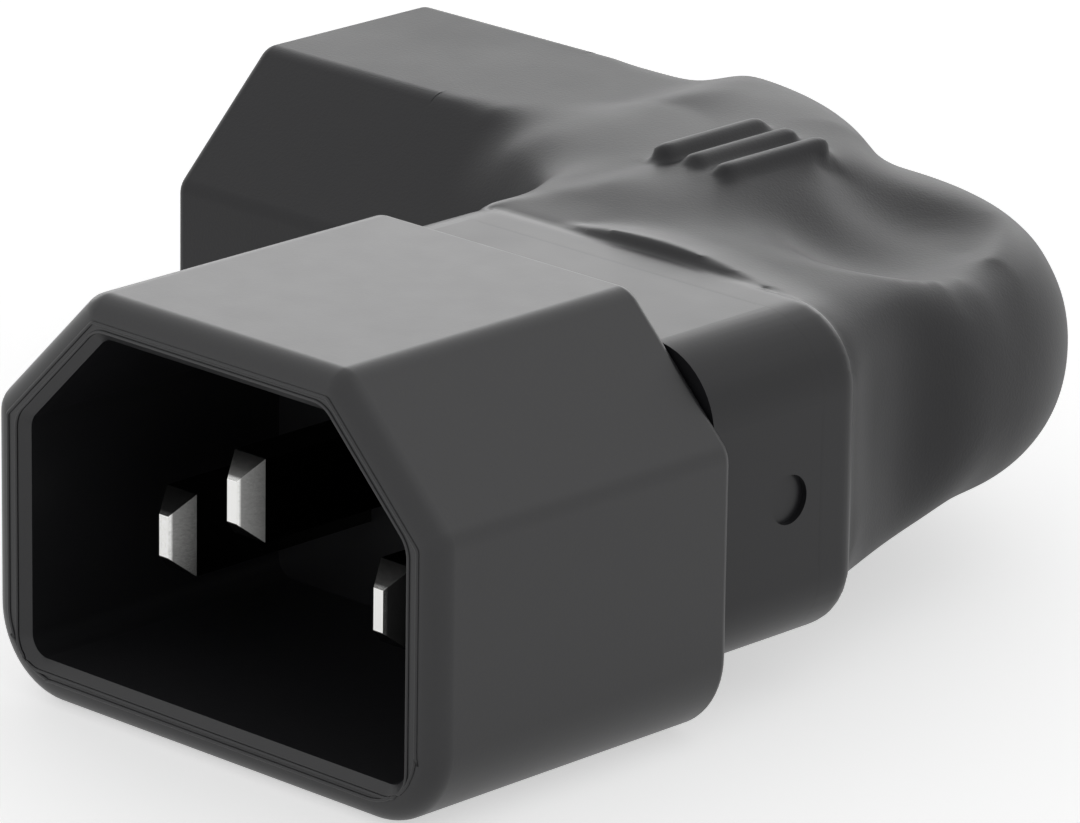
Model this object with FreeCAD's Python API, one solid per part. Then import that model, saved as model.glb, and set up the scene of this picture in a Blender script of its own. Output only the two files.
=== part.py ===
import FreeCAD, Part
import math
import os

from FreeCAD import Vector

# Right-angle mains adapter: a male inlet in a hard shroud, turned through 90 degrees by a soft
# moulding into a female outlet leg. Millimetres, +Z up. The inlet mouth faces -Y, the outlet mouth -X.
# All pieces are drawn round the point where the two connector axes cross, seen from above, on the
# surface that the adapter lies on, and are then moved so that the origin is below its middle.

# Mating pattern of both connectors: two live blades side by side and the earth blade above them.
POLE_PITCH = 7.0
LIVE_DROP = 2.0
EARTH_RISE = 2.0
BLADE_THICKNESS = 2.0
BLADE_HEIGHT = 4.0
BLADE_TIP_BEVEL = 0.7

# Inlet shroud: a hard moulding with two slanted top corners, open towards -Y.
INLET_REACH = 46.5
SHROUD_WIDTH = 29.0
SHROUD_HEIGHT = 20.5
SHROUD_LENGTH = 19.1
SHROUD_SLANT = 6.4
SHROUD_EDGE_RADIUS = 1.5
SHROUD_FOOT_RADIUS = 4.2
RIM_ROUNDING = 1.2
REAR_ROUNDING = 0.5
RECESS_WIDTH = 24.5
RECESS_HEIGHT = 16.5
RECESS_DEPTH = 16.4
RECESS_SLANT = 5.05
RECESS_CORNER_RADIUS = 1.0
RECESS_BEVEL = 0.5
LIVE_TIP_DEPTH = 3.9
EARTH_TIP_DEPTH = 1.5

# Boss behind the shroud, with a flange that the soft moulding grips.
BOSS_WIDTH = 19.0
BOSS_HEIGHT = 10.0
BOSS_LENGTH = 2.4
BOSS_CORNER_RADIUS = 1.5
FLANGE_LIP = 1.0
FLANGE_LENGTH = 2.0

# Neck of the soft moulding, between the shroud and the elbow, with the mark of its mould gate.
NECK_WIDTH = 26.6
NECK_HEIGHT = 16.0
NECK_LENGTH = 10.0
NECK_CORNER_RADIUS = 3.8
NECK_EDGE_ROUNDING = 0.8
GATE_RADIUS = 1.2
GATE_DEPTH = 0.3
GATE_SETBACK = 5.2

# Outlet leg of the soft moulding, open towards -X.
OUTLET_REACH = 38.5
LEG_WIDTH = 24.0
LEG_HEIGHT = 16.0
LEG_SLANT = 6.2
LEG_EDGE_RADIUS = 1.2
LEG_FOOT_RADIUS = 2.0
LEG_MOUTH_ROUNDING = 0.6
LEG_HEEL_X = -12.0
LEG_HEEL_RADIUS = 10.0

# Elbow: a crowned band that turns about an upright axis behind the neck, then tapers into the leg.
ELBOW_CENTRE_X = -17.5
ELBOW_CENTRE_Y = -8.0
ELBOW_INNER = 6.0
ELBOW_OUTER = 17.8
ELBOW_DRAFT = 0.9
ELBOW_RIDGE = 11.0
ELBOW_RISE = 9.0
ELBOW_INNER_FALL = 1.1
ELBOW_OUTER_FALL = 0.8
ELBOW_CROWN_RADIUS = 9.0
ELBOW_INNER_ROUNDING = 2.0
ELBOW_OUTER_ROUNDING = 4.0
ELBOW_RAMP_LENGTH = 7.0
ELBOW_RAMP_ROUNDING = 12.0
ELBOW_TAPER_LENGTH = 6.0
ELBOW_TAPER = 0.7
ELBOW_SLOPE_X = -15.0
ELBOW_SLOPE_ROUNDING = 12.0

# Web that fills the inside of the turn.
WEB_CENTRE_X = -19.5
WEB_CENTRE_Y = -16.0
WEB_INNER = 7.2
WEB_OUTER = 16.0
WEB_ROUNDING = 2.5
WEB_RISE = 0.7

# Grip ribs on top of the elbow.
RIB_COUNT = 3
RIB_PITCH = 2.05
RIB_FIRST_X = -8.6
RIB_CENTRE_Y = -4.2
RIB_WIDTH = 1.2
RIB_LENGTH = 7.6
RIB_TOP = 9.45
RIB_TOP_FALL = 0.05
RIB_CORNER_RADIUS = 0.5
RIB_EDGE_RADIUS = 0.45

# Thumb lobe: the thin round outer corner, hollow above and below, and the waist that leads to it.
LOBE_RIGHT = 10.8
LOBE_REAR = 10.4
LOBE_LEFT = -16.0
LOBE_HEIGHT = 13.0
LOBE_CORNER_RADIUS = 15.5
LOBE_EDGE_LAND = 0.8
WAIST_LENGTH = 14.0
WAIST_SIDE_INSET = 2.6
WAIST_HEIGHT_INSET = 2.2
WAIST_CROWN = 1.6
WAIST_CROWN_RADIUS = 33.0
WAIST_END_ROUNDING = 5.5
HOLLOW_RADIUS = 7.5
HOLLOW_RISE = 12.5
HOLLOW_TURN_RADIUS = 8.9
HOLLOW_TURN_ANGLE = 42.0
HOLLOW_LENGTH = 0.5

# Contact carrier inside the outlet leg, and the cover that closes its back.
CARRIER_WALL = 2.0
CARRIER_LENGTH = 18.0
COVER_LENGTH = 2.0
FACE_THICKNESS = 2.0
SLOT_PLAY = 0.3

# Sleeve contacts, folded from sheet, in pockets of the carrier.
CONTACT_SHEET = 0.5
CONTACT_PLAY = 0.1
CONTACT_LENGTH = 12.5
CONTACT_SLIT = 0.8
CONTACT_BAND = 2.2
POCKET_PLAY = 0.15

# Insulated leads inside the moulding, crimped to the blades and the contacts.
COPPER_RADIUS = 0.56
INSULATION_RADIUS = 1.25
BARREL_WALL = 0.5
BARREL_LENGTH = 4.0
BARREL_GRIP = 3.2
BLADE_TAIL = 1.4
STRIP_LENGTH = 0.6
BEND_CENTRE = 11.5

# How much a 45 degree corner cut shortens when its outline is drawn 1 mm further in.
SLANT_INSET = 2 - math.sqrt(2)

AXIS_Z = SHROUD_HEIGHT / 2
MOUTH_Y = -INLET_REACH
SHROUD_REAR_Y = MOUTH_Y + SHROUD_LENGTH
FLANGE_Y = SHROUD_REAR_Y + BOSS_LENGTH
BOSS_REAR_Y = FLANGE_Y + FLANGE_LENGTH
PIN_END_Y = BOSS_REAR_Y + BLADE_TAIL + BARREL_LENGTH
NECK_REAR_Y = SHROUD_REAR_Y + NECK_LENGTH
FACE_X = -OUTLET_REACH
COVER_X = FACE_X + CARRIER_LENGTH
COVER_REAR_X = COVER_X + COVER_LENGTH
CONTACT_END_X = COVER_REAR_X + BARREL_LENGTH
BARREL_RADIUS = COPPER_RADIUS + BARREL_WALL
MIDDLE = Vector((SHROUD_WIDTH / 2 - OUTLET_REACH) / 2, (LEG_WIDTH / 2 - INLET_REACH) / 2, 0)

RIGHT = Vector(1, 0, 0)
INWARD = Vector(0, 1, 0)
UP = Vector(0, 0, 1)
NEAR = 1e-6

# Each pole: its place across both connectors, its height, how far its tip stays behind the mouth.
POLES = {
    "line": (-POLE_PITCH, AXIS_Z - LIVE_DROP, LIVE_TIP_DEPTH),
    "neutral": (POLE_PITCH, AXIS_Z - LIVE_DROP, LIVE_TIP_DEPTH),
    "earth": (0.0, AXIS_Z + EARTH_RISE, EARTH_TIP_DEPTH),
}


def across_inlet(y):
    """Places a section across the inlet axis: u is X, v is the height above the axis."""
    return lambda u, v: Vector(u, y, AXIS_Z + v)


def across_outlet(x):
    """Places a section across the outlet axis: u is Y, v is the height above the axis."""
    return lambda u, v: Vector(x, u, AXIS_Z + v)


def seen_from_above(z):
    """Places a plan: u is X, v is Y."""
    return lambda u, v: Vector(u, v, z)


def rounded_face(corners, place):
    """A face with straight sides and an arc at each corner, given as (u, v, radius)."""
    points = [Vector(u, v, 0) for u, v, radius in corners]
    ends = []
    edges = []

    def placed(point):
        return place(point.x, point.y)

    for i, (u, v, radius) in enumerate(corners):
        here = points[i]
        back = (points[i - 1] - here).normalize()
        ahead = (points[(i + 1) % len(points)] - here).normalize()
        half_angle = back.getAngle(ahead) / 2
        setback = radius / math.tan(half_angle)
        first = here + back * setback
        last = here + ahead * setback
        if radius > 0:
            bisector = (back + ahead).normalize()
            crown = here + bisector * (radius / math.sin(half_angle) - radius)
            edges.append(Part.Arc(placed(first), placed(crown), placed(last)).toShape())
        ends.append((first, last))
    for i in range(len(ends)):
        start = ends[i - 1][1]
        finish = ends[i][0]
        if (finish - start).Length > NEAR:
            edges.append(Part.LineSegment(placed(start), placed(finish)).toShape())
    return Part.Face(Part.Wire(Part.__sortEdges__(edges)))


def rectangle(width, height, radius):
    w = width / 2
    h = height / 2
    return [(-w, -h, radius), (w, -h, radius), (w, h, radius), (-w, h, radius)]


def slanted_section(width, height, slant, edge_radius, foot_radius):
    """The connector outline: a rectangle whose two top corners are cut at 45 degrees."""
    w = width / 2
    h = height / 2
    return [
        (-w, -h, foot_radius),
        (w, -h, foot_radius),
        (w, h - slant, edge_radius),
        (w - slant, h, edge_radius),
        (-w + slant, h, edge_radius),
        (-w, h - slant, edge_radius),
    ]


def box_between(low, high):
    size = high - low
    return Part.makeBox(size.x, size.y, size.z, low)


def edges_at(shape, axis, level):
    """The edges that lie in the plane at this level of an axis: 0 for X, 1 for Y, 2 for Z."""
    return [e for e in shape.Edges if all(abs(v.Point[axis] - level) < NEAR for v in e.Vertexes)]


def fused(shapes):
    return shapes[0].multiFuse(shapes[1:]).removeSplitter()


def without(shape, tools):
    for tool in tools:
        shape = shape.cut(tool)
    return shape


def blade_box(pole, y_low, y_high):
    across, height, tip_depth = POLES[pole]
    half = Vector(BLADE_THICKNESS / 2, 0, BLADE_HEIGHT / 2)
    middle = Vector(across, 0, height)
    return box_between(middle - half + INWARD * y_low, middle + half + INWARD * y_high)


def pin(pole):
    """A blade with a bevelled tip, and behind the boss a tail that ends in a crimp barrel."""
    across, height, tip_depth = POLES[pole]
    tip_y = MOUTH_Y + tip_depth
    blade = blade_box(pole, tip_y, BOSS_REAR_Y + BLADE_TAIL)
    blade = blade.makeChamfer(BLADE_TIP_BEVEL, edges_at(blade, 1, tip_y))
    barrel_start = Vector(across, BOSS_REAR_Y, height)
    bore_start = Vector(across, PIN_END_Y - BARREL_GRIP, height)
    barrel = Part.makeCylinder(BARREL_RADIUS, PIN_END_Y - BOSS_REAR_Y, barrel_start, INWARD)
    bore = Part.makeCylinder(COPPER_RADIUS, BARREL_GRIP, bore_start, INWARD)
    return fused([blade, barrel]).cut(bore)


def inlet_shroud():
    """The shroud, its floor and the flanged boss behind it, with a tight slot for each blade."""
    outline = slanted_section(SHROUD_WIDTH, SHROUD_HEIGHT, SHROUD_SLANT, SHROUD_EDGE_RADIUS,
                              SHROUD_FOOT_RADIUS)
    outer = rounded_face(outline, across_inlet(MOUTH_Y)).extrude(INWARD * SHROUD_LENGTH)
    outer = outer.makeFillet(RIM_ROUNDING, edges_at(outer, 1, MOUTH_Y))
    outer = outer.makeFillet(REAR_ROUNDING, edges_at(outer, 1, SHROUD_REAR_Y))
    recess_outline = slanted_section(RECESS_WIDTH, RECESS_HEIGHT, RECESS_SLANT, RECESS_CORNER_RADIUS,
                                     RECESS_CORNER_RADIUS)
    recess = rounded_face(recess_outline, across_inlet(MOUTH_Y)).extrude(INWARD * RECESS_DEPTH)
    flare_radius = RECESS_CORNER_RADIUS + RECESS_BEVEL
    flare_outline = slanted_section(RECESS_WIDTH + 2 * RECESS_BEVEL, RECESS_HEIGHT + 2 * RECESS_BEVEL,
                                    RECESS_SLANT + SLANT_INSET * RECESS_BEVEL,
                                    flare_radius, flare_radius)
    flare = Part.makeLoft([
        rounded_face(flare_outline, across_inlet(MOUTH_Y)).OuterWire,
        rounded_face(recess_outline, across_inlet(MOUTH_Y + RECESS_BEVEL)).OuterWire,
    ], True, True)
    boss_outline = rectangle(BOSS_WIDTH, BOSS_HEIGHT, BOSS_CORNER_RADIUS)
    boss = rounded_face(boss_outline, across_inlet(SHROUD_REAR_Y)).extrude(INWARD * BOSS_LENGTH)
    flange_outline = rectangle(BOSS_WIDTH + 2 * FLANGE_LIP, BOSS_HEIGHT + 2 * FLANGE_LIP,
                               BOSS_CORNER_RADIUS)
    flange = rounded_face(flange_outline, across_inlet(FLANGE_Y)).extrude(INWARD * FLANGE_LENGTH)
    shroud = fused([outer, boss, flange])
    slots = [blade_box(pole, MOUTH_Y, BOSS_REAR_Y) for pole in POLES]
    return without(shroud, [recess, flare] + slots)


def carrier_face(x):
    slant = LEG_SLANT - SLANT_INSET * CARRIER_WALL
    outline = slanted_section(LEG_WIDTH - 2 * CARRIER_WALL, LEG_HEIGHT - 2 * CARRIER_WALL, slant,
                              LEG_EDGE_RADIUS, LEG_EDGE_RADIUS)
    return rounded_face(outline, across_outlet(x))


def sleeve_box(pole, x_low, x_high, margin):
    """A box round a blade pushed into the outlet, with this margin on its four sides."""
    across, height, tip_depth = POLES[pole]
    half = Vector(0, BLADE_THICKNESS / 2 + margin, BLADE_HEIGHT / 2 + margin)
    middle = Vector(0, across, height)
    return box_between(middle - half + RIGHT * x_low, middle + half + RIGHT * x_high)


def outlet_carrier():
    """The hard block behind the outlet face, with three slots that open into contact pockets."""
    block = carrier_face(FACE_X).extrude(RIGHT * CARRIER_LENGTH)
    pocket_x = FACE_X + FACE_THICKNESS
    pocket_margin = CONTACT_PLAY + CONTACT_SHEET + POCKET_PLAY
    slots = [sleeve_box(pole, FACE_X, pocket_x, SLOT_PLAY) for pole in POLES]
    pockets = [sleeve_box(pole, pocket_x, COVER_X, pocket_margin) for pole in POLES]
    return without(block, slots + pockets)


def outlet_cover():
    """The plate that closes the pockets, with a tight hole for each contact's barrel."""
    plate = carrier_face(COVER_X).extrude(RIGHT * COVER_LENGTH)
    holes = [Part.makeCylinder(BARREL_RADIUS, COVER_LENGTH, Vector(COVER_X, across, height), RIGHT)
             for across, height, tip_depth in POLES.values()]
    return without(plate, holes)


def contact(pole):
    """A slit sleeve that grips the blade, with a crimp barrel that leaves through the cover."""
    across, height, tip_depth = POLES[pole]
    front_x = FACE_X + FACE_THICKNESS + POCKET_PLAY
    rear_x = front_x + CONTACT_LENGTH
    wall_x = rear_x - CONTACT_SHEET
    sleeve = sleeve_box(pole, front_x, rear_x, CONTACT_PLAY + CONTACT_SHEET)
    hollow = sleeve_box(pole, front_x, wall_x, CONTACT_PLAY)
    slit_top = height + BLADE_HEIGHT / 2 + CONTACT_PLAY + CONTACT_SHEET
    slit = box_between(Vector(front_x, across - CONTACT_SLIT / 2, height),
                       Vector(rear_x - CONTACT_BAND, across + CONTACT_SLIT / 2, slit_top))
    barrel_start = Vector(wall_x, across, height)
    bore_start = Vector(CONTACT_END_X - BARREL_GRIP, across, height)
    barrel = Part.makeCylinder(BARREL_RADIUS, CONTACT_END_X - wall_x, barrel_start, RIGHT)
    bore = Part.makeCylinder(COPPER_RADIUS, BARREL_GRIP, bore_start, RIGHT)
    return without(fused([without(sleeve, [hollow, slit]), barrel]), [bore])


def lead(pole, radius, reach):
    """A round rod from the pin to the contact with one bend, reaching this far into both barrels."""
    across, height, tip_depth = POLES[pole]
    bend = across + BEND_CENTRE
    centre = Vector(-BEND_CENTRE, -BEND_CENTRE, height)
    start = Vector(across, PIN_END_Y - reach, height)
    bend_start = centre + RIGHT * bend
    bend_middle = centre + (RIGHT + INWARD).normalize() * bend
    bend_end = centre + INWARD * bend
    finish = Vector(CONTACT_END_X - reach, across, height)
    path = Part.Wire([
        Part.LineSegment(start, bend_start).toShape(),
        Part.Arc(bend_start, bend_middle, bend_end).toShape(),
        Part.LineSegment(bend_end, finish).toShape(),
    ])
    section = Part.Wire([Part.Circle(start, INWARD, radius).toShape()])
    return path.makePipeShell([section], True, False)


def copper(pole):
    return lead(pole, COPPER_RADIUS, BARREL_GRIP)


def insulation(pole):
    return lead(pole, INSULATION_RADIUS, -STRIP_LENGTH).cut(copper(pole))


def neck():
    outline = rectangle(NECK_WIDTH, NECK_HEIGHT, NECK_CORNER_RADIUS)
    body = rounded_face(outline, across_inlet(SHROUD_REAR_Y)).extrude(INWARD * NECK_LENGTH)
    body = body.makeFillet(NECK_EDGE_ROUNDING, edges_at(body, 1, NECK_REAR_Y))
    gate_place = Vector(NECK_WIDTH / 2 - GATE_DEPTH, SHROUD_REAR_Y + GATE_SETBACK, AXIS_Z)
    return body.cut(Part.makeCylinder(GATE_RADIUS, 2 * GATE_DEPTH, gate_place, RIGHT))


def crowned_rectangle(width, height, crown, radius):
    """A rounded rectangle whose top rises to a soft ridge in the middle."""
    w = width / 2
    h = height / 2
    ridge = (0, h + crown, WAIST_CROWN_RADIUS)
    return [(-w, -h, radius), (w, -h, radius), (w, h, radius), ridge, (-w, h, radius)]


def waist():
    """The taper from the neck down to the thumb lobe, with a crown that stands above the neck."""
    inset = 2 * NECK_EDGE_ROUNDING
    wide = crowned_rectangle(NECK_WIDTH - inset, NECK_HEIGHT - inset, WAIST_CROWN,
                             NECK_CORNER_RADIUS)
    narrow = crowned_rectangle(NECK_WIDTH - 2 * WAIST_SIDE_INSET,
                               NECK_HEIGHT - 2 * WAIST_HEIGHT_INSET, WAIST_CROWN,
                               WAIST_END_ROUNDING)
    return Part.makeLoft([
        rounded_face(wide, across_inlet(NECK_REAR_Y)).OuterWire,
        rounded_face(narrow, across_inlet(NECK_REAR_Y + WAIST_LENGTH)).OuterWire,
    ], True, True)


def outlet_leg():
    """The straight leg round the carrier, with its far corner turned into the elbow."""
    outline = slanted_section(LEG_WIDTH, LEG_HEIGHT, LEG_SLANT, LEG_EDGE_RADIUS, LEG_FOOT_RADIUS)
    leg = rounded_face(outline, across_outlet(FACE_X)).extrude(RIGHT * (LEG_HEEL_X - FACE_X))
    leg = leg.makeFillet(LEG_MOUTH_ROUNDING, edges_at(leg, 0, FACE_X))
    plan = [
        (FACE_X, -LEG_WIDTH / 2, 0),
        (LEG_HEEL_X, -LEG_WIDTH / 2, 0),
        (LEG_HEEL_X, LEG_WIDTH / 2, LEG_HEEL_RADIUS),
        (FACE_X, LEG_WIDTH / 2, 0),
    ]
    return leg.common(rounded_face(plan, seen_from_above(0)).extrude(UP * SHROUD_HEIGHT))


def elbow_section(scale):
    """The band's section, scaled about its ridge: u is the distance from the turning axis."""
    corners = [
        (ELBOW_INNER, -AXIS_Z, ELBOW_INNER_ROUNDING),
        (ELBOW_OUTER, -AXIS_Z, ELBOW_OUTER_ROUNDING),
        (ELBOW_OUTER + ELBOW_DRAFT, 0, 0),
        (ELBOW_OUTER, ELBOW_RISE - ELBOW_OUTER_FALL, ELBOW_OUTER_ROUNDING),
        (ELBOW_RIDGE, ELBOW_RISE, ELBOW_CROWN_RADIUS),
        (ELBOW_INNER, ELBOW_RISE - ELBOW_INNER_FALL, ELBOW_INNER_ROUNDING),
    ]
    return [(ELBOW_RIDGE + (u - ELBOW_RIDGE) * scale, v * scale, radius * scale)
            for u, v, radius in corners]


def inner_corner():
    """The web that fills the inside of the turn and rises from a rounded edge to the band."""
    axis = Vector(WEB_CENTRE_X, WEB_CENTRE_Y, AXIS_Z)
    half = NECK_HEIGHT / 2
    section = [
        (WEB_INNER, -half, WEB_ROUNDING),
        (WEB_OUTER, -half - WEB_RISE, 0),
        (WEB_OUTER, half + WEB_RISE, 0),
        (WEB_INNER, half, WEB_ROUNDING),
    ]
    at_neck = rounded_face(section, lambda u, v: axis + RIGHT * u + UP * v)
    start = at_neck.extrude(INWARD * (NECK_REAR_Y - WEB_CENTRE_Y))
    return fused([start, at_neck.revolve(axis, UP, 90)])


def elbow():
    """The quarter turn of the band, its taper into the leg, and the ramps that lead to it."""
    axis = Vector(ELBOW_CENTRE_X, ELBOW_CENTRE_Y, AXIS_Z)
    at_neck = rounded_face(elbow_section(1), lambda u, v: axis + RIGHT * u + UP * v)
    at_leg = rounded_face(elbow_section(1), lambda u, v: axis + INWARD * u + UP * v)
    taper_end = axis - RIGHT * ELBOW_TAPER_LENGTH
    in_leg = rounded_face(elbow_section(ELBOW_TAPER), lambda u, v: taper_end + INWARD * u + UP * v)
    start = at_neck.extrude(INWARD * (NECK_REAR_Y - ELBOW_CENTRE_Y))
    turn = at_neck.revolve(axis, UP, 90)
    taper = Part.makeLoft([at_leg.OuterWire, in_leg.OuterWire], True, True)
    ramp_y = NECK_REAR_Y + ELBOW_RAMP_LENGTH
    far_y = ELBOW_CENTRE_Y + ELBOW_OUTER + ELBOW_DRAFT
    seen_from_leg = [
        (NECK_REAR_Y, -NECK_HEIGHT / 2, 0),
        (ramp_y, -AXIS_Z, ELBOW_RAMP_ROUNDING),
        (far_y, -AXIS_Z, 0),
        (far_y, ELBOW_RISE, 0),
        (ramp_y, ELBOW_RISE, ELBOW_RAMP_ROUNDING),
        (NECK_REAR_Y, NECK_HEIGHT / 2, 0),
    ]
    near_x = taper_end.x
    far_x = ELBOW_CENTRE_X + ELBOW_OUTER + ELBOW_DRAFT
    seen_from_neck = [
        (near_x, -AXIS_Z, 0),
        (far_x, -AXIS_Z, 0),
        (far_x, ELBOW_RISE, 0),
        (ELBOW_SLOPE_X, ELBOW_RISE, ELBOW_SLOPE_ROUNDING),
        (near_x, ELBOW_RISE * ELBOW_TAPER, 0),
    ]
    ramps = rounded_face(seen_from_leg, across_outlet(near_x)).extrude(RIGHT * (far_x - near_x))
    slope_length = far_y - NECK_REAR_Y
    slope = rounded_face(seen_from_neck, across_inlet(NECK_REAR_Y)).extrude(INWARD * slope_length)
    return fused([start, turn, taper, inner_corner()]).common(ramps).common(slope)


def ribs():
    """Upright bars with softened tops, each a little lower than the one before it."""
    bars = []
    outline = rectangle(RIB_WIDTH, RIB_LENGTH, RIB_CORNER_RADIUS)
    for i in range(RIB_COUNT):
        x = RIB_FIRST_X + i * RIB_PITCH
        top = RIB_TOP - i * RIB_TOP_FALL
        plan = [(u + x, v + RIB_CENTRE_Y, radius) for u, v, radius in outline]
        bar = rounded_face(plan, seen_from_above(AXIS_Z)).extrude(UP * top)
        bars.append(bar.makeFillet(RIB_EDGE_RADIUS, edges_at(bar, 2, AXIS_Z + top)))
    return bars


def thumb_lobe():
    """The thin outer corner of the turn, with a nearly full round edge."""
    inner_x = ELBOW_CENTRE_X + ELBOW_INNER + ELBOW_INNER_ROUNDING
    inner_y = ELBOW_CENTRE_Y + ELBOW_INNER + ELBOW_INNER_ROUNDING
    plan = [
        (inner_x, NECK_REAR_Y, 0),
        (LOBE_RIGHT, NECK_REAR_Y, 0),
        (LOBE_RIGHT, LOBE_REAR, LOBE_CORNER_RADIUS),
        (LOBE_LEFT, LOBE_REAR, 0),
        (LOBE_LEFT, inner_y, 0),
        (inner_x, inner_y, 0),
    ]
    low_z = AXIS_Z - LOBE_HEIGHT / 2
    body = rounded_face(plan, seen_from_above(low_z)).extrude(UP * LOBE_HEIGHT)
    level_edges = edges_at(body, 2, low_z) + edges_at(body, 2, low_z + LOBE_HEIGHT)
    far_x = LOBE_RIGHT - LOBE_CORNER_RADIUS
    outer = [e for e in level_edges
             if e.BoundBox.XMax > far_x - NEAR and e.BoundBox.YMax > inner_y + NEAR]
    return body.makeFillet((LOBE_HEIGHT - LOBE_EDGE_LAND) / 2, outer)


def hollow(side):
    """A ball's track above (side 1) or below (side -1) the lobe, along its side and its corner."""
    centre = Vector(LOBE_RIGHT - LOBE_CORNER_RADIUS, LOBE_REAR - LOBE_CORNER_RADIUS,
                    AXIS_Z + side * HOLLOW_RISE)

    def on_turn(angle):
        return centre + (RIGHT * math.cos(angle) + INWARD * math.sin(angle)) * HOLLOW_TURN_RADIUS

    angle = math.radians(HOLLOW_TURN_ANGLE)
    start = on_turn(0) - INWARD * HOLLOW_LENGTH
    finish = on_turn(angle)
    path = Part.Wire([
        Part.LineSegment(start, on_turn(0)).toShape(),
        Part.Arc(on_turn(0), on_turn(angle / 2), finish).toShape(),
    ])
    section = Part.Wire([Part.Circle(start, INWARD, HOLLOW_RADIUS).toShape()])
    track = path.makePipeShell([section], True, False)
    ends = [Part.makeSphere(HOLLOW_RADIUS, start), Part.makeSphere(HOLLOW_RADIUS, finish)]
    return fused([track] + ends)


def soft_moulding(inner_pieces):
    """Neck, elbow, lobe and leg in one moulding, hollow where the inner pieces sit."""
    body = fused([outlet_leg(), elbow(), waist(), thumb_lobe()])
    body = without(body, [hollow(1), hollow(-1)])
    body = fused([neck(), body] + ribs())
    carrier_space = carrier_face(FACE_X).extrude(RIGHT * (CARRIER_LENGTH + COVER_LENGTH))
    return without(body, [carrier_space] + inner_pieces)


def all_pieces():
    pieces = {
        "inlet_shroud": inlet_shroud(),
        "outlet_carrier": outlet_carrier(),
        "outlet_cover": outlet_cover(),
    }
    hidden = [pieces["inlet_shroud"]]
    for pole in POLES:
        pieces[pole + "_pin"] = pin(pole)
        pieces[pole + "_contact"] = contact(pole)
        pieces[pole + "_copper"] = copper(pole)
        pieces[pole + "_insulation"] = insulation(pole)
        hidden += [pieces[pole + kind] for kind in ("_pin", "_contact", "_copper", "_insulation")]
    pieces["soft_moulding"] = soft_moulding(hidden)
    return pieces


def main():
    os.makedirs("parts", exist_ok=True)
    for name, shape in all_pieces().items():
        shape.translated(-MIDDLE).exportStep("parts/" + name + ".step")


main()
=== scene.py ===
import math

import bpy
from mathutils import Matrix, Vector


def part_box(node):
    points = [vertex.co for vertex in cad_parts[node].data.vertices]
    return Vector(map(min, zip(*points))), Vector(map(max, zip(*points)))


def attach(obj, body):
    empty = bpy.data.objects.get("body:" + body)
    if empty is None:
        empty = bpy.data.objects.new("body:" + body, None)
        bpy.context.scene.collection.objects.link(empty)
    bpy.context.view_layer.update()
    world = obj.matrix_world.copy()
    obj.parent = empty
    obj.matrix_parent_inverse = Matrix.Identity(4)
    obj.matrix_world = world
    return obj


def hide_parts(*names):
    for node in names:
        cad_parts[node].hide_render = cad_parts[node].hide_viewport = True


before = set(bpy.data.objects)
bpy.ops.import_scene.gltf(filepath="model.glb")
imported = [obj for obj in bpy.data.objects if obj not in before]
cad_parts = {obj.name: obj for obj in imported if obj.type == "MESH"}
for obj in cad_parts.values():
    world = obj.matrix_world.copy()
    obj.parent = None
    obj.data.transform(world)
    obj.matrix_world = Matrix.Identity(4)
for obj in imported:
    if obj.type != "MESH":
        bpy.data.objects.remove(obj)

bl_info = {
    "name": "Right-angle mains adapter",
    "version": (1, 0, 0),
    "blender": (4, 5, 0),
    "location": "View3D > Sidebar > Adapter",
    "description": "Dresses the adapter's solids with its moulded skin, edges, finishes and a studio",
    "category": "Object",
}

BODY = "root"
MM = 0.001
POLES = ("line", "neutral", "earth")
SHROUD_LOW, SHROUD_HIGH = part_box("inlet_shroud")
MOULD_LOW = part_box("soft_moulding")[0]
CARRIER_LOW, CARRIER_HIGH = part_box("outlet_carrier")
# The inlet's axis runs along y and the outlet's along x, and they meet here.
AXIS_X = (SHROUD_LOW.x + SHROUD_HIGH.x) / 2
AXIS_Y = (CARRIER_LOW.y + CARRIER_HIGH.y) / 2
AXIS_Z = (SHROUD_LOW.z + SHROUD_HIGH.z) / 2
AXES = (AXIS_X, AXIS_Y, AXIS_Z)
MOUTH_Y = SHROUD_LOW.y
# Points of a solid's triangles that are closer than this are the same point.
WELD = 0.002 * MM
# Faces that turn less than this from each other are one flat face.
FLAT_TURN = math.radians(0.6)
# Edges whose faces turn more than this are sharp.
SHARP_TURN = math.radians(30)


def linear(code):
    """The linear colour of an sRGB hex value."""
    parts = [int(code[i:i + 2], 16) / 255 for i in (1, 3, 5)]
    return tuple(p / 12.92 if p <= 0.04045 else ((p + 0.055) / 1.055) ** 2.4 for p in parts)


def opaque(colour, gain=1):
    """A colour times a gain, as a colour socket takes it."""
    return (*[part * gain for part in colour], 1)


def add_node(tree, kind, inputs, **settings):
    """Adds a node with its settings, and sets or links its inputs."""
    node = tree.nodes.new(kind)
    for name, value in settings.items():
        setattr(node, name, value)
    for name, value in inputs.items():
        if isinstance(value, bpy.types.NodeSocket):
            tree.links.new(value, node.inputs[name])
        else:
            node.inputs[name].default_value = value
    return node


def new_material(name):
    """An empty material and its node tree."""
    material = bpy.data.materials.new(name)
    material.use_nodes = True
    material.node_tree.nodes.clear()
    return material, material.node_tree


def finish_shader(tree, inputs):
    """Ends a material: its surface with these inputs, joined to the output."""
    shader = add_node(tree, "ShaderNodeBsdfPrincipled", inputs)
    add_node(tree, "ShaderNodeOutputMaterial", {"Surface": shader.outputs["BSDF"]})


def clear_selection():
    """Leaves edit mode and deselects everything."""
    if bpy.context.mode != "OBJECT":
        bpy.ops.object.mode_set(mode="OBJECT")
    bpy.ops.object.select_all(action="DESELECT")


def only(piece):
    """Makes this the one selected and active object."""
    clear_selection()
    piece.select_set(True)
    bpy.context.view_layer.objects.active = piece


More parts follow.
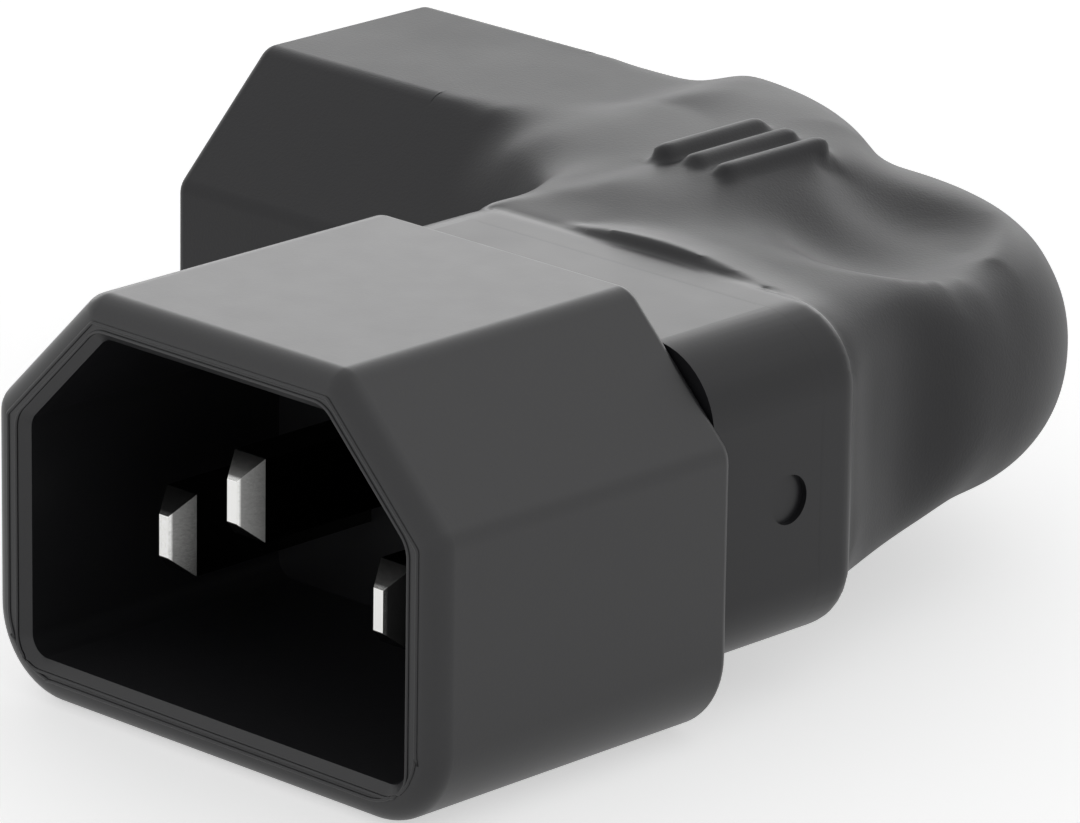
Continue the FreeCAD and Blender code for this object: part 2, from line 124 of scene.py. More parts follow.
def edit_whole(piece, step, **settings):
    """Takes one step of edit mode on the whole of a piece."""
    only(piece)
    bpy.ops.object.mode_set(mode="EDIT")
    bpy.ops.mesh.select_all(action="SELECT")
    step(**settings)
    bpy.ops.object.mode_set(mode="OBJECT")


def pick(piece, kind, test):
    """Goes into edit mode with only those points or faces of a piece selected that pass a test."""
    only(piece)
    bpy.ops.object.mode_set(mode="EDIT")
    bpy.ops.mesh.select_mode(type=kind)
    bpy.ops.mesh.select_all(action="DESELECT")
    bpy.ops.object.mode_set(mode="OBJECT")
    items = {"VERT": piece.data.vertices, "FACE": piece.data.polygons}
    for item in items[kind]:
        item.select = test(item)
    bpy.ops.object.mode_set(mode="EDIT")


def merged_copy(node_name, piece_name):
    """A new piece from a copy of a solid's mesh, with its loose triangles joined."""
    piece = bpy.data.objects.new(piece_name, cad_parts[node_name].data.copy())
    bpy.context.scene.collection.objects.link(piece)
    piece.data.materials.clear()
    edit_whole(piece, bpy.ops.mesh.remove_doubles, threshold=WELD)
    return piece


def cut_off(piece, axis, level, above):
    """Removes the part of a piece above or below this level of an axis, and closes the cut."""
    normal = Vector((0, 0, 0))
    normal[axis] = 1
    edit_whole(piece, bpy.ops.mesh.bisect, plane_co=normal * level, plane_no=normal, use_fill=True,
               clear_outer=above, clear_inner=not above)


def apply(piece, kind, **settings):
    """Adds a modifier with these settings and applies it."""
    only(piece)
    modifier = piece.modifiers.new(kind.title(), kind)
    for name, value in settings.items():
        setattr(modifier, name, value)
    bpy.ops.object.modifier_apply(modifier=modifier.name)


def even_shading(piece):
    """Smooth shading that keeps sharp edges sharp and flat faces flat up to their roundings."""
    edit_whole(piece, bpy.ops.mesh.dissolve_limited, angle_limit=FLAT_TURN)
    bpy.ops.object.shade_smooth_by_angle(angle=SHARP_TURN)
    apply(piece, "WEIGHTED_NORMAL", keep_sharp=True)


def round_edges(piece, width):
    """Rounds the sharp edges of a piece."""
    apply(piece, "BEVEL", width=width, segments=2, limit_method="ANGLE", angle_limit=SHARP_TURN)
    even_shading(piece)


def settle(piece, node_name, material):
    """Gives a finished piece its material and its place on the part, instead of the solid."""
    piece.data.materials.clear()
    piece.data.materials.append(material)
    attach(piece, BODY)
    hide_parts(node_name)


def dress(node_name, material):
    """Gives a carried-over solid a new material."""
    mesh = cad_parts[node_name].data
    mesh.materials.clear()
    mesh.materials.append(material)


def from_axes(place):
    """A place in mm from the meeting of the connectors' axes."""
    return [(level - axis) / MM for level, axis in zip(place, AXES)]


def smooth_step(levels, value):
    """0 up to the first level, 1 from the second one on, and a smooth change between them."""
    start, full = levels
    share = min(1.0, max(0.0, (value - start) / (full - start)))
    return share * share * (3 - 2 * share)


class AdapterSizes(bpy.types.PropertyGroup):
    """Sizes of the dressed pieces"""

    voxel: bpy.props.FloatProperty(
        name="Skin grid", description="Grid on which the corner's soft skin is drawn",
        default=0.27 * MM, unit="LENGTH", precision=5)
    even_passes: bpy.props.IntProperty(
        name="Even passes", description="Smoothing passes over the whole corner",
        default=2, min=0)
    soft_passes: bpy.props.IntProperty(
        name="Soft passes", description="Smoothing passes on the blends of the corner",
        default=45, min=0)
    dish_passes: bpy.props.IntProperty(
        name="Dish passes", description="More smoothing passes beside the thumb dish and on the inner web",
        default=300, min=0)
    lobe_passes: bpy.props.IntProperty(
        name="Lobe passes", description="More smoothing passes on the side of the lobe",
        default=100, min=0)
    waist_draw: bpy.props.FloatProperty(
        name="Waist", description="How far the skin is drawn in behind the neck's outer side",
        default=1.1 * MM, unit="LENGTH", precision=5)
    waist_reach: bpy.props.FloatProperty(
        name="Waist reach", description="How far from the waist its drawing in reaches",
        default=5.5 * MM, unit="LENGTH", precision=5)
    tuck: bpy.props.FloatProperty(
        name="Tuck", description="How far the corner's ends lie under the leg's and the neck's skin",
        default=0.03 * MM, unit="LENGTH", precision=5)
    hard_edge: bpy.props.FloatProperty(
        name="Hard edge", description="Rounding of the shroud's sharp edges",
        default=0.14 * MM, unit="LENGTH", precision=5)
    blade_edge: bpy.props.FloatProperty(
        name="Blade edge", description="Rounding of the blades' stamped edges",
        default=0.12 * MM, unit="LENGTH", precision=5)
    tip_share: bpy.props.FloatProperty(
        name="Blade tip", description="Height of a blade's flat end as a share of the solid's",
        default=0.78, min=0.1)
    bevel_more: bpy.props.FloatProperty(
        name="Longer bevels", description="How much further the bevels of a blade reach back",
        default=0.45 * MM, unit="LENGTH", precision=5)
    rim_bead: bpy.props.FloatProperty(
        name="Rim beads", description="Radius of the fine beads along the edges of the shroud's front rim",
        default=0.09 * MM, unit="LENGTH", precision=5)
    grain: bpy.props.FloatProperty(
        name="Mould grain", description="Spacing of the soft skin's mould texture",
        default=0.16 * MM, unit="LENGTH", precision=5)


class AdapterColours(bpy.types.PropertyGroup):
    """Colours of the plastics and metals"""

    skin: bpy.props.FloatVectorProperty(
        name="Soft skin", description="Soft PVC of the moulding",
        default=linear("#1a1a1c"), subtype="COLOR", min=0, max=1)
    skin_worn: bpy.props.FloatVectorProperty(
        name="Soft skin, dusty", description="Paler patches where the soft skin is rubbed",
        default=linear("#212124"), subtype="COLOR", min=0, max=1)
    shroud: bpy.props.FloatVectorProperty(
        name="Shroud", description="Hard nylon of the inlet shroud",
        default=linear("#1f1f21"), subtype="COLOR", min=0, max=1)
    carrier: bpy.props.FloatVectorProperty(
        name="Carrier", description="Hard nylon behind the outlet face",
        default=linear("#1c1c1e"), subtype="COLOR", min=0, max=1)
    nickel: bpy.props.FloatVectorProperty(
        name="Nickel", description="Plate on the blades",
        default=linear("#f0f0ee"), subtype="COLOR", min=0, max=1)
    bronze: bpy.props.FloatVectorProperty(
        name="Bronze", description="Spring sheet of the contacts",
        default=linear("#c79a52"), subtype="COLOR", min=0, max=1)
    copper: bpy.props.FloatVectorProperty(
        name="Copper", description="Bare lead ends",
        default=linear("#c87a55"), subtype="COLOR", min=0, max=1)
    brown: bpy.props.FloatVectorProperty(
        name="Line lead", description="Insulation of the line lead",
        default=linear("#5a3420"), subtype="COLOR", min=0, max=1)
    blue: bpy.props.FloatVectorProperty(
        name="Neutral lead", description="Insulation of the neutral lead",
        default=linear("#2c5ea8"), subtype="COLOR", min=0, max=1)
    green: bpy.props.FloatVectorProperty(
        name="Earth lead", description="Ground colour of the earth lead's insulation",
        default=linear("#3d8a3a"), subtype="COLOR", min=0, max=1)
    yellow: bpy.props.FloatVectorProperty(
        name="Earth stripe", description="Stripe on the earth lead's insulation",
        default=linear("#d9c838"), subtype="COLOR", min=0, max=1)


class AdapterStudio(bpy.types.PropertyGroup):
    """Camera, lights and floor"""

    lens: bpy.props.FloatProperty(
        name="Lens", description="Focal length on a 36 mm wide frame",
        default=266.67, unit="CAMERA")
    azimuth: bpy.props.FloatProperty(
        name="Camera azimuth", description="Turn of the camera round the adapter",
        default=math.radians(43.77), subtype="ANGLE")
    elevation: bpy.props.FloatProperty(
        name="Camera elevation", description="Height of the camera above the horizon",
        default=math.radians(18.27), subtype="ANGLE")
    roll: bpy.props.FloatProperty(
        name="Camera roll", description="Turn of the camera about its view",
        default=math.radians(0.89), subtype="ANGLE")
    offset: bpy.props.FloatVectorProperty(
        name="Mouth in view",
        description="Place of the inlet mouth's middle right of, below and ahead of the camera",
        default=(-14.98 * MM, 6.28 * MM, 360.53 * MM), subtype="TRANSLATION", unit="LENGTH")
    ambient: bpy.props.FloatProperty(
        name="Ambient", description="Even light from all round",
        default=0.4, min=0)
    back_power: bpy.props.FloatProperty(
        name="Back light", description="Large soft light behind and left",
        default=2.6, min=0, unit="POWER")
    top_power: bpy.props.FloatProperty(
        name="Top light", description="Soft light overhead, to the right",
        default=0.3, min=0, unit="POWER")
    floor: bpy.props.FloatVectorProperty(
        name="Floor", description="Pale paper floor",
        default=linear("#f0f0f0"), subtype="COLOR", min=0, max=1)


class AdapterSettings(bpy.types.PropertyGroup):
    """All settings of the adapter"""

    sizes: bpy.props.PointerProperty(type=AdapterSizes)
    colours: bpy.props.PointerProperty(type=AdapterColours)
    studio: bpy.props.PointerProperty(type=AdapterStudio)


def soft_pvc(settings):
    """Soft PVC, moulded over the contacts: a smooth sheen on the neck, a fine spark-eroded grain that dulls
    the elbow and the leg, and faint flow marks."""
    material, tree = new_material("soft_pvc")
    colours = settings.colours
    flow_spacing = 6 * MM
    # The grain begins at the neck's rear end, is full a little further on and dulls the skin by this much.
    grain_start = AXIS_Y - 17.4 * MM
    grain_run = 3 * MM
    grain_dullness = 0.13
    place = add_node(tree, "ShaderNodeTexCoord", {}).outputs["Object"]
    grain = add_node(tree, "ShaderNodeTexNoise", {
        "Vector": place, "Scale": 1 / settings.sizes.grain, "Detail": 2.0, "Roughness": 0.6})
    flow = add_node(tree, "ShaderNodeTexNoise", {
        "Vector": place, "Scale": 1 / flow_spacing, "Detail": 3.0, "Roughness": 0.55})
    tint = add_node(tree, "ShaderNodeMix", {
        "Factor": flow.outputs["Fac"], "A": opaque(colours.skin), "B": opaque(colours.skin_worn)},
        data_type="RGBA")
    sheen = add_node(tree, "ShaderNodeMapRange", {
        "Value": flow.outputs["Fac"], "From Min": 0.3, "From Max": 0.7, "To Min": 0.34, "To Max": 0.38})
    parts = add_node(tree, "ShaderNodeSeparateXYZ", {"Vector": place})
    grained_part = add_node(tree, "ShaderNodeMapRange", {
        "Value": parts.outputs["Y"], "From Min": grain_start, "From Max": grain_start + grain_run})
    dullness = add_node(tree, "ShaderNodeMath", {
        0: grained_part.outputs["Result"], 1: grain_dullness, 2: sheen.outputs["Result"]},
        operation="MULTIPLY_ADD")
    relief = add_node(tree, "ShaderNodeMapRange", {
        "Value": grained_part.outputs["Result"], "To Min": 0.05, "To Max": 0.22})
    grained = add_node(tree, "ShaderNodeBump", {
        "Height": grain.outputs["Fac"], "Strength": relief.outputs["Result"], "Distance": 0.05 * MM})
    finish_shader(tree, {
        "Base Color": tint.outputs["Result"], "Roughness": dullness.outputs[0],
        "IOR": 1.4, "Normal": grained.outputs["Normal"]})
    return material


def hard_nylon(name, colour):
    """Glass-filled nylon, moulded in a polished mould: an even semi-gloss with a faint orange peel."""
    material, tree = new_material(name)
    peel_width = 1.5 * MM
    fibre_width = 0.15 * MM
    # The glass fibres are a little paler than the nylon.
    fibre_gain = 1.25
    place = add_node(tree, "ShaderNodeTexCoord", {}).outputs["Object"]
    peel = add_node(tree, "ShaderNodeTexNoise", {"Vector": place, "Scale": 1 / peel_width, "Detail": 2.0})
    fibre = add_node(tree, "ShaderNodeTexNoise", {"Vector": place, "Scale": 1 / fibre_width, "Detail": 1.0})
    gloss = add_node(tree, "ShaderNodeMapRange", {
        "Value": peel.outputs["Fac"], "From Min": 0.3, "From Max": 0.7, "To Min": 0.375, "To Max": 0.39})
    soft = add_node(tree, "ShaderNodeBump", {
        "Height": fibre.outputs["Fac"], "Strength": 0.12, "Distance": 0.02 * MM})
    peeled = add_node(tree, "ShaderNodeBump", {
        "Height": peel.outputs["Fac"], "Strength": 0.03, "Distance": 0.05 * MM,
        "Normal": soft.outputs["Normal"]})
    tint = add_node(tree, "ShaderNodeMix", {
        "Factor": fibre.outputs["Fac"], "A": opaque(colour), "B": opaque(colour, fibre_gain)},
        data_type="RGBA")
    finish_shader(tree, {
        "Base Color": tint.outputs["Result"], "Roughness": gloss.outputs["Result"],
        "IOR": 1.53, "Normal": peeled.outputs["Normal"]})
    return material


def rolled_metal(name, colour, along, smooth, rough, tip=None):
    """Stamped sheet metal, bare or plated: bright, with fine roll lines along one direction. Behind a blade's
    flat end the colour is darkened, a painted shade of the recess that deepens along the bevels and sides."""
    material, tree = new_material(name)
    line_spacing = 0.08 * MM
    line_length = 2 * MM
    line_shade = 0.86
    place = add_node(tree, "ShaderNodeTexCoord", {}).outputs["Object"]
    stretch = [1 / line_spacing] * 3
    stretch[along] = 1 / line_length
    lined = add_node(tree, "ShaderNodeMapping", {"Vector": place, "Scale": stretch})
    lines = add_node(tree, "ShaderNodeTexNoise", {
        "Vector": lined.outputs["Vector"], "Scale": 1.0, "Detail": 2.0})
    gloss = add_node(tree, "ShaderNodeMapRange", {
        "Value": lines.outputs["Fac"], "From Min": 0.25, "From Max": 0.75,
        "To Min": smooth, "To Max": rough})
    tint = add_node(tree, "ShaderNodeMix", {
        "Factor": lines.outputs["Fac"], "A": opaque(colour), "B": opaque(colour, line_shade)},
        data_type="RGBA")
    ridged = add_node(tree, "ShaderNodeBump", {
        "Height": lines.outputs["Fac"], "Strength": 0.08, "Distance": 0.02 * MM})
    if tip is not None:
        # The painted shade begins just behind the tip's flat end, and deepens slowly along the bevels behind
        # it.
        painted_shade_start = tip + 0.1 * MM
        deeper_shade_start = tip + 0.2 * MM
        deeper_shade_full = tip + 1.4 * MM
        parts = add_node(tree, "ShaderNodeSeparateXYZ", {"Vector": place})
        # Full colour on the flat end, then darkened just behind it: painted shade of the recess.
        rubbed = add_node(tree, "ShaderNodeMapRange", {
            "Value": parts.outputs["Y"], "From Min": painted_shade_start, "From Max": deeper_shade_start,
            "To Min": 1.0, "To Max": 0.24})
        deeper_shade = add_node(tree, "ShaderNodeMapRange", {
            "Value": parts.outputs["Y"], "From Min": deeper_shade_start, "From Max": deeper_shade_full,
            "To Min": 1.0, "To Max": 0.3})
        shade = add_node(tree, "ShaderNodeMath", {
            0: rubbed.outputs["Result"], 1: deeper_shade.outputs["Result"]}, operation="MULTIPLY")
        tint = add_node(tree, "ShaderNodeMix", {
            "Factor": 1.0, "A": tint.outputs["Result"], "B": shade.outputs[0]},
            data_type="RGBA", blend_type="MULTIPLY")
    finish_shader(tree, {
        "Base Color": tint.outputs["Result"], "Metallic": 1.0, "Roughness": gloss.outputs["Result"],
        "Normal": ridged.outputs["Normal"]})
    return material


def lead_pvc(name, colour, stripe):
    """Extruded PVC on a lead: smooth and waxy, with the stripe's colour on its lower half."""
    material, tree = new_material(name)
    cloud_width = 2 * MM
    # Only the earth lead has two colours, and they meet at half its height.
    low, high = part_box("earth_insulation")
    middle = (low.z + high.z) / 2
    place = add_node(tree, "ShaderNodeTexCoord", {}).outputs["Object"]
    parts = add_node(tree, "ShaderNodeSeparateXYZ", {"Vector": place})
    half = add_node(tree, "ShaderNodeMath", {0: parts.outputs["Z"], 1: middle}, operation="GREATER_THAN")
    cloud = add_node(tree, "ShaderNodeTexNoise", {"Vector": place, "Scale": 1 / cloud_width, "Detail": 2.0})
    tint = add_node(tree, "ShaderNodeMix", {
        "Factor": half.outputs[0], "A": opaque(stripe), "B": opaque(colour)}, data_type="RGBA")
    waxy = add_node(tree, "ShaderNodeMapRange", {
        "Value": cloud.outputs["Fac"], "From Min": 0.3, "From Max": 0.7, "To Min": 0.38, "To Max": 0.46})
    finish_shader(tree, {
        "Base Color": tint.outputs["Result"], "Roughness": waxy.outputs["Result"], "IOR": 1.53})
    return material


class ADAPTER_OT_soft_moulding(bpy.types.Operator):
    """Draws the soft moulding's neck and leg with crisp edges and its corner with soft blends"""

    bl_idname = "adapter.soft_moulding"
    bl_label = "Soft moulding"

    # The places below are in mm from the meeting of the connectors' axes.
    # The corner meets the leg and the neck at the seams, and reaches under them.
    seam_x = -26.0
    seam_y = -20.0
    overlap = 1.0
    # Behind the seams the corner is tucked in, from the first distance on and fully from the second.
    tuck_start = 0.1
    tuck_full = 0.5
    # The patch of the outer side that is drawn in to the waist.
    waist_side = 8.0
    waist_y = -11.6
    waist_half = 0.3
    waist_low = -1.5
    waist_high = 3.0
    # The box of the grip ribs in plan.
    ribs_x = -6.55
    ribs_y = -4.2
    ribs_half_x = 2.65
    ribs_half_y = 3.8
    # The levels at which the blends start and are full.
    beside_ribs = (0.2, 1.6)
    behind_neck = (-16.8, -15.0)
    before_leg = (-25.0, -22.5)
    lobe_side = (3.0, 5.0)
    below_rim = (4.9, 3.7)
    # The middle of each round blend, and the distances from it at which it starts and is full.
    dish_side = ((-0.5, -7.0), (9.0, 6.5))
    dish_end = ((-2.2, 0.5), (7.0, 4.5))
    inner_web = ((-15.5, -6.5), (7.0, 4.0))
    rim_end = ((8.7, -3.4, 5.0), (3.6, 2.2))

    def execute(self, context):
        settings = context.scene.adapter
        material = soft_pvc(settings)
        ends = (("leg_skin", 0, AXIS_X + self.seam_x * MM), ("neck_skin", 1, AXIS_Y + self.seam_y * MM))
        for name, axis, level in ends:
            piece = merged_copy("soft_moulding", name)
            cut_off(piece, axis, level, above=True)
            even_shading(piece)
            settle(piece, "soft_moulding", material)
        settle(self.corner(settings.sizes), "soft_moulding", material)
        return {"FINISHED"}

    def corner(self, sizes):
        """The elbow between the neck and the leg, with its waist, its blends and its tucked ends."""
        piece = merged_copy("soft_moulding", "corner_skin")
        cut_off(piece, 0, AXIS_X + (self.seam_x - self.overlap) * MM, above=False)
        cut_off(piece, 1, AXIS_Y + (self.seam_y - self.overlap) * MM, above=False)
        apply(piece, "REMESH", mode="VOXEL", voxel_size=sizes.voxel, adaptivity=0.0)
        apply(piece, "SMOOTH", factor=0.5, iterations=sizes.even_passes)
        self.draw_in_waist(piece, sizes)
        blends = ((self.softness, sizes.soft_passes), (self.dish, sizes.dish_passes),
                  (self.lobe, sizes.lobe_passes))
        for measure, passes in blends:
            group = piece.vertex_groups.new(name="blends")
            for vertex in piece.data.vertices:
                group.add([vertex.index], measure(vertex.co), "REPLACE")
            apply(piece, "SMOOTH", factor=0.5, iterations=passes, vertex_group="blends")
            piece.vertex_groups.clear()
        points = piece.data.vertices
        tucks = [point.normal * (sizes.tuck * self.under_straight(point.co)) for point in points]
        for point, tuck in zip(points, tucks):
            point.co -= tuck
        only(piece)
        bpy.ops.object.shade_smooth()
        return piece

    def draw_in_waist(self, piece, sizes):
        """Draws the skin in behind the neck's outer side, so that the lobe swells out again after it."""
        pick(piece, "VERT", self.on_waist)
        bpy.ops.transform.translate(
            value=(-sizes.waist_draw, 0, 0), use_proportional_edit=True, proportional_edit_falloff="SMOOTH",
            proportional_size=sizes.waist_reach)
        bpy.ops.object.mode_set(mode="OBJECT")

    def on_waist(self, point):
        """Whether a point lies on the patch that is drawn in."""
        x, y, z = from_axes(point.co)
        in_height = self.waist_low < z < self.waist_high
        return x > self.waist_side and abs(y - self.waist_y) < self.waist_half and in_height

    def off_ribs(self, x, y):
        """0 on the grip ribs and 1 away from them."""
        outside = max(abs(x - self.ribs_x) - self.ribs_half_x, abs(y - self.ribs_y) - self.ribs_half_y)
        return smooth_step(self.beside_ribs, outside)

    def softness(self, place):
        """How much a point is blended: fully behind the neck's end, not on the ribs or towards the leg."""
        x, y = from_axes(place)[:2]
        return smooth_step(self.behind_neck, y) * smooth_step(self.before_leg, x) * self.off_ribs(x, y)

    def dish(self, place):
        """How much a point is blended again: beside the dish, at its far end and on the inner web."""
        plan = from_axes(place)[:2]
        spots = (self.dish_side, self.dish_end, self.inner_web)
        most = max(smooth_step(levels, math.dist(plan, middle)) for middle, levels in spots)
        return most * self.softness(place)

    def lobe(self, place):
        """How much a point is blended below the dish's near rim, on the lobe's side, and at the rim's end."""
        x, y, z = from_axes(place)
        on_side = smooth_step(self.lobe_side, x) * smooth_step(self.below_rim, z)
        middle, levels = self.rim_end
        round_end = smooth_step(levels, math.dist((x, y, z), middle))
        return max(on_side, round_end) * self.softness(place)

    def under_straight(self, place):
        """1 where the corner lies under the ends of the leg and the neck."""
        x, y = from_axes(place)[:2]
        under_neck = smooth_step((self.seam_y - self.tuck_start, self.seam_y - self.tuck_full), y)
        under_leg = smooth_step((self.seam_x - self.tuck_start, self.seam_x - self.tuck_full), x)
        return max(under_neck, under_leg)


class ADAPTER_OT_inlet_shroud(bpy.types.Operator):
    """Rounds the hard shroud's sharp edges, beads its front rim and gives it its semi-gloss"""

    bl_idname = "adapter.inlet_shroud"
    bl_label = "Inlet shroud"

    # A face of the front rim looks straight out of the mouth and is this close to it.
    rim_facing = 0.999
    rim_depth = 0.02 * MM

    def execute(self, context):
        settings = context.scene.adapter
        piece = merged_copy("inlet_shroud", "shroud")
        beads = self.rim_beads(piece, settings.sizes)
        round_edges(piece, settings.sizes.hard_edge)
        nylon = hard_nylon("glass_filled_nylon", settings.colours.shroud)
        settle(piece, "inlet_shroud", nylon)
        settle(beads, "inlet_shroud", nylon)
        return {"FINISHED"}

    def on_rim(self, face):
        """Whether a face is part of the front rim's flat face."""
        return face.normal.y < -self.rim_facing and face.center.y < MOUTH_Y + self.rim_depth

    def rim_beads(self, piece, sizes):
        """Two fine beads along the inner and outer edges of the front rim's flat face."""
        pick(piece, "FACE", self.on_rim)
        bpy.ops.mesh.region_to_loop()
        bpy.ops.mesh.duplicate()
        bpy.ops.mesh.separate(type="SELECTED")
        bpy.ops.object.mode_set(mode="OBJECT")
        beads = next(item for item in bpy.context.selected_objects if item != piece)
        beads.name = "rim_beads"
        only(beads)
        bpy.ops.object.convert(target="CURVE")
        beads.data.bevel_depth = sizes.rim_bead
        bpy.ops.object.convert(target="MESH")
        bpy.ops.object.shade_smooth()
        return beads


class ADAPTER_OT_blades(bpy.types.Operator):
    """Narrows the blades' tips, rounds their stamped edges and plates them with nickel"""

    bl_idname = "adapter.blades"
    bl_label = "Blades"

    # Behind the tip, the flat end lies within the first distance, and the bevels end between the others.
    end_depth = 0.1 * MM
    bevel_near = 0.3 * MM
    bevel_far = 1.2 * MM

    def execute(self, context):
        settings = context.scene.adapter
        for pole in POLES:
            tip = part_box(pole + "_pin")[0].y
            # Behind each tip the plate's colour is darkened: painted shade of the recess.
            plate = rolled_metal(
                "nickel_plate_" + pole, settings.colours.nickel, along=1, smooth=0.16, rough=0.26, tip=tip)
            piece = merged_copy(pole + "_pin", pole + "_blade")
            self.point_tip(piece, settings.sizes)
            round_edges(piece, settings.sizes.blade_edge)
            settle(piece, pole + "_pin", plate)
        return {"FINISHED"}

    def point_tip(self, piece, sizes):
        """Narrows the flat end of a blade and lengthens the bevels behind it."""
        tip = min(point.co.y for point in piece.data.vertices)
        end = tip + self.end_depth
        near = tip + self.bevel_near
        far = tip + self.bevel_far
        ends = [point.co.copy() for point in piece.data.vertices if point.co.y < end]
        middle = sum(ends, Vector()) / len(ends)
        pick(piece, "VERT", lambda point: point.co.y < end)
        bpy.ops.transform.resize(value=(1, 1, sizes.tip_share), center_override=middle)
        pick(piece, "VERT", lambda point: near < point.co.y < far)
        bpy.ops.transform.translate(value=(0, sizes.bevel_more, 0))
        bpy.ops.object.mode_set(mode="OBJECT")


class ADAPTER_OT_outlet(bpy.types.Operator):
    """Finishes the outlet's carrier, its cover and the sleeve contacts in it"""

    bl_idname = "adapter.outlet"
    bl_label = "Outlet"

    def execute(self, context):
        colours = context.scene.adapter.colours
        nylon = hard_nylon("carrier_nylon", colours.carrier)
        dress("outlet_carrier", nylon)
        dress("outlet_cover", nylon)
        bronze = rolled_metal("phosphor_bronze", colours.bronze, along=0, smooth=0.26, rough=0.36)
        for pole in POLES:
            dress(pole + "_contact", bronze)
        return {"FINISHED"}


class ADAPTER_OT_leads(bpy.types.Operator):
    """Colours the insulated leads inside the moulding"""

    bl_idname = "adapter.leads"
    bl_label = "Leads"

    def execute(self, context):
        colours = context.scene.adapter.colours
        wire = rolled_metal("drawn_copper", colours.copper, along=1, smooth=0.28, rough=0.4)
        covers = {
            "line": lead_pvc("brown_pvc", colours.brown, colours.brown),
            "neutral": lead_pvc("blue_pvc", colours.blue, colours.blue),
            "earth": lead_pvc("green_and_yellow_pvc", colours.green, colours.yellow),
        }
        for pole in POLES:
            dress(pole + "_copper", wire)
            dress(pole + "_insulation", covers[pole])
        return {"FINISHED"}


def soft_light(name, direction, distance, width, height, power):
    """An area light that looks at the adapter's middle from this direction."""
    middle = (MOULD_LOW + SHROUD_HIGH) / 2
    lamp = bpy.data.lights.new(name, "AREA")
    lamp.shape = "RECTANGLE"
    lamp.size = width
    lamp.size_y = height
    lamp.energy = power
    light = bpy.data.objects.new(name, lamp)
    bpy.context.scene.collection.objects.link(light)
    away = Vector(direction).normalized()
    light.location = middle + away * distance
    light.rotation_mode = "QUATERNION"
    light.rotation_quaternion = away.to_track_quat("Z", "Y")
    light.visible_camera = False


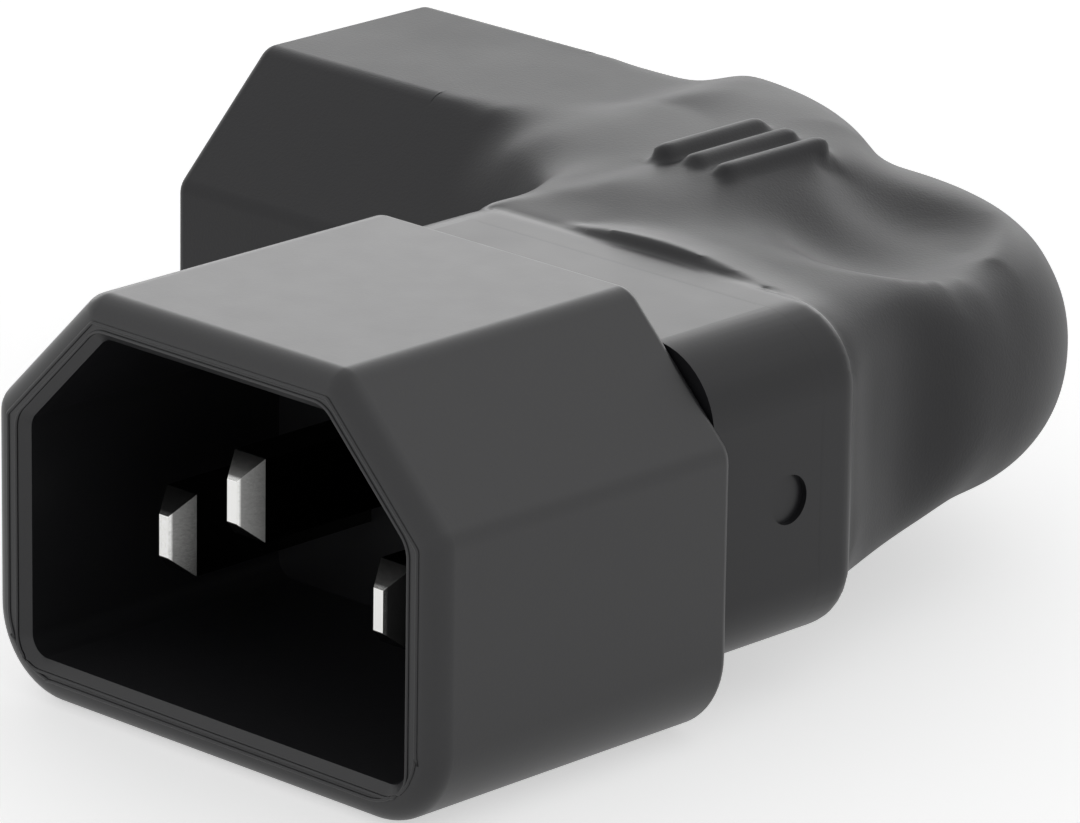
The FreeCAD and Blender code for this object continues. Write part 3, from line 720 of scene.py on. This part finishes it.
class ADAPTER_OT_studio(bpy.types.Operator):
    """Sets the pale floor, the soft lights, the white surroundings and the camera"""

    bl_idname = "adapter.studio"
    bl_label = "Studio"

    # The paper lies just clear of the underside, so that the two don't share a plane.
    floor_size = 3.0
    floor_gap = 0.02 * MM
    # What the paper shines by itself where it is seen.
    floor_glow = 0.55
    # The camera's frame in mm, and the distances in metres between which it sees.
    frame_width = 36.0
    nearest = 0.01
    farthest = 20.0

    def execute(self, context):
        studio = context.scene.adapter.studio
        context.scene.view_settings.view_transform = "Standard"
        self.floor(studio)
        self.surroundings(context.scene, studio)
        soft_light("back_light", direction=(-0.66, 0.69, 0.3), distance=0.9, width=1.2, height=0.36,
                   power=studio.back_power)
        soft_light("top_light", direction=(0.5, 0.35, 0.8), distance=0.8, width=0.6, height=0.6,
                   power=studio.top_power)
        self.camera(context.scene, studio)
        return {"FINISHED"}

    def floor(self, studio):
        """Paper that the camera and the gloss see as nearly white, with the shadow left on it."""
        clear_selection()
        bpy.ops.mesh.primitive_plane_add(size=self.floor_size, location=(0, 0, -self.floor_gap))
        floor = bpy.context.object
        floor.name = "paper_floor"
        material, tree = new_material("pale_paper")
        path = add_node(tree, "ShaderNodeLightPath", {})
        seen = add_node(tree, "ShaderNodeMath", {
            0: path.outputs["Is Camera Ray"], 1: path.outputs["Is Glossy Ray"]}, operation="MAXIMUM")
        glow = add_node(tree, "ShaderNodeMath", {
            0: seen.outputs[0], 1: self.floor_glow}, operation="MULTIPLY")
        finish_shader(tree, {
            "Base Color": opaque(studio.floor), "Roughness": 0.9, "Emission Color": (1, 1, 1, 1),
            "Emission Strength": glow.outputs[0]})
        floor.data.materials.append(material)

    def surroundings(self, scene, studio):
        """White all round where the camera, gloss and glass see it, and a dimmer even light elsewhere."""
        world = bpy.data.worlds.new("white_surroundings")
        world.use_nodes = True
        tree = world.node_tree
        tree.nodes.clear()
        path = add_node(tree, "ShaderNodeLightPath", {})
        glossy = add_node(tree, "ShaderNodeMath", {
            0: path.outputs["Is Glossy Ray"], 1: path.outputs["Is Transmission Ray"]}, operation="MAXIMUM")
        seen = add_node(tree, "ShaderNodeMath", {
            0: path.outputs["Is Camera Ray"], 1: glossy.outputs[0]}, operation="MAXIMUM")
        strength = add_node(tree, "ShaderNodeMapRange", {
            "Value": seen.outputs[0], "To Min": studio.ambient, "To Max": 1.0})
        light = add_node(tree, "ShaderNodeBackground", {
            "Color": (1, 1, 1, 1), "Strength": strength.outputs["Result"]})
        add_node(tree, "ShaderNodeOutputWorld", {"Surface": light.outputs["Background"]})
        scene.world = world

    def camera(self, scene, studio):
        """The camera, turned, lifted and rolled, with the inlet's mouth at its place in the view."""
        turn, lift, roll = studio.azimuth, studio.elevation, studio.roll
        back = Vector((math.sin(turn) * math.cos(lift), -math.cos(turn) * math.cos(lift), math.sin(lift)))
        right = Vector((math.cos(turn), math.sin(turn), 0))
        up = back.cross(right)
        across = right * math.cos(roll) + up * math.sin(roll)
        upright = up * math.cos(roll) - right * math.sin(roll)
        mouth = Vector((AXIS_X, MOUTH_Y, AXIS_Z))
        place = mouth - across * studio.offset[0] + upright * studio.offset[1] + back * studio.offset[2]
        data = bpy.data.cameras.new("camera")
        data.lens = studio.lens
        data.sensor_width = self.frame_width
        data.sensor_fit = "HORIZONTAL"
        data.clip_start = self.nearest
        data.clip_end = self.farthest
        camera = bpy.data.objects.new("camera", data)
        scene.collection.objects.link(camera)
        turned = Matrix((across, upright, back)).transposed().to_4x4()
        camera.matrix_world = Matrix.Translation(place) @ turned
        scene.camera = camera


STEPS = (
    ADAPTER_OT_soft_moulding,
    ADAPTER_OT_inlet_shroud,
    ADAPTER_OT_blades,
    ADAPTER_OT_outlet,
    ADAPTER_OT_leads,
    ADAPTER_OT_studio,
)


class ADAPTER_PT_pieces(bpy.types.Panel):
    """Lists the adapter's pieces and their settings"""

    bl_idname = "ADAPTER_PT_pieces"
    bl_label = "Right-angle mains adapter"
    bl_space_type = "VIEW_3D"
    bl_region_type = "UI"
    bl_category = "Adapter"

    def draw(self, context):
        settings = context.scene.adapter
        for step in STEPS:
            self.layout.operator(step.bl_idname)
        for group in (settings.sizes, settings.colours, settings.studio):
            box = self.layout.box()
            for name in group.bl_rna.properties.keys():
                if name not in {"rna_type", "name"}:
                    box.prop(group, name)


CLASSES = (AdapterSizes, AdapterColours, AdapterStudio, AdapterSettings) + STEPS + (ADAPTER_PT_pieces,)


def register():
    for kind in CLASSES:
        bpy.utils.register_class(kind)
    bpy.types.Scene.adapter = bpy.props.PointerProperty(type=AdapterSettings)


def unregister():
    del bpy.types.Scene.adapter
    for kind in reversed(CLASSES):
        bpy.utils.unregister_class(kind)


def main():
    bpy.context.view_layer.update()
    register()
    bpy.ops.adapter.soft_moulding()
    bpy.ops.adapter.inlet_shroud()
    bpy.ops.adapter.blades()
    bpy.ops.adapter.outlet()
    bpy.ops.adapter.leads()
    bpy.ops.adapter.studio()


if __name__ == "__main__":
    main()
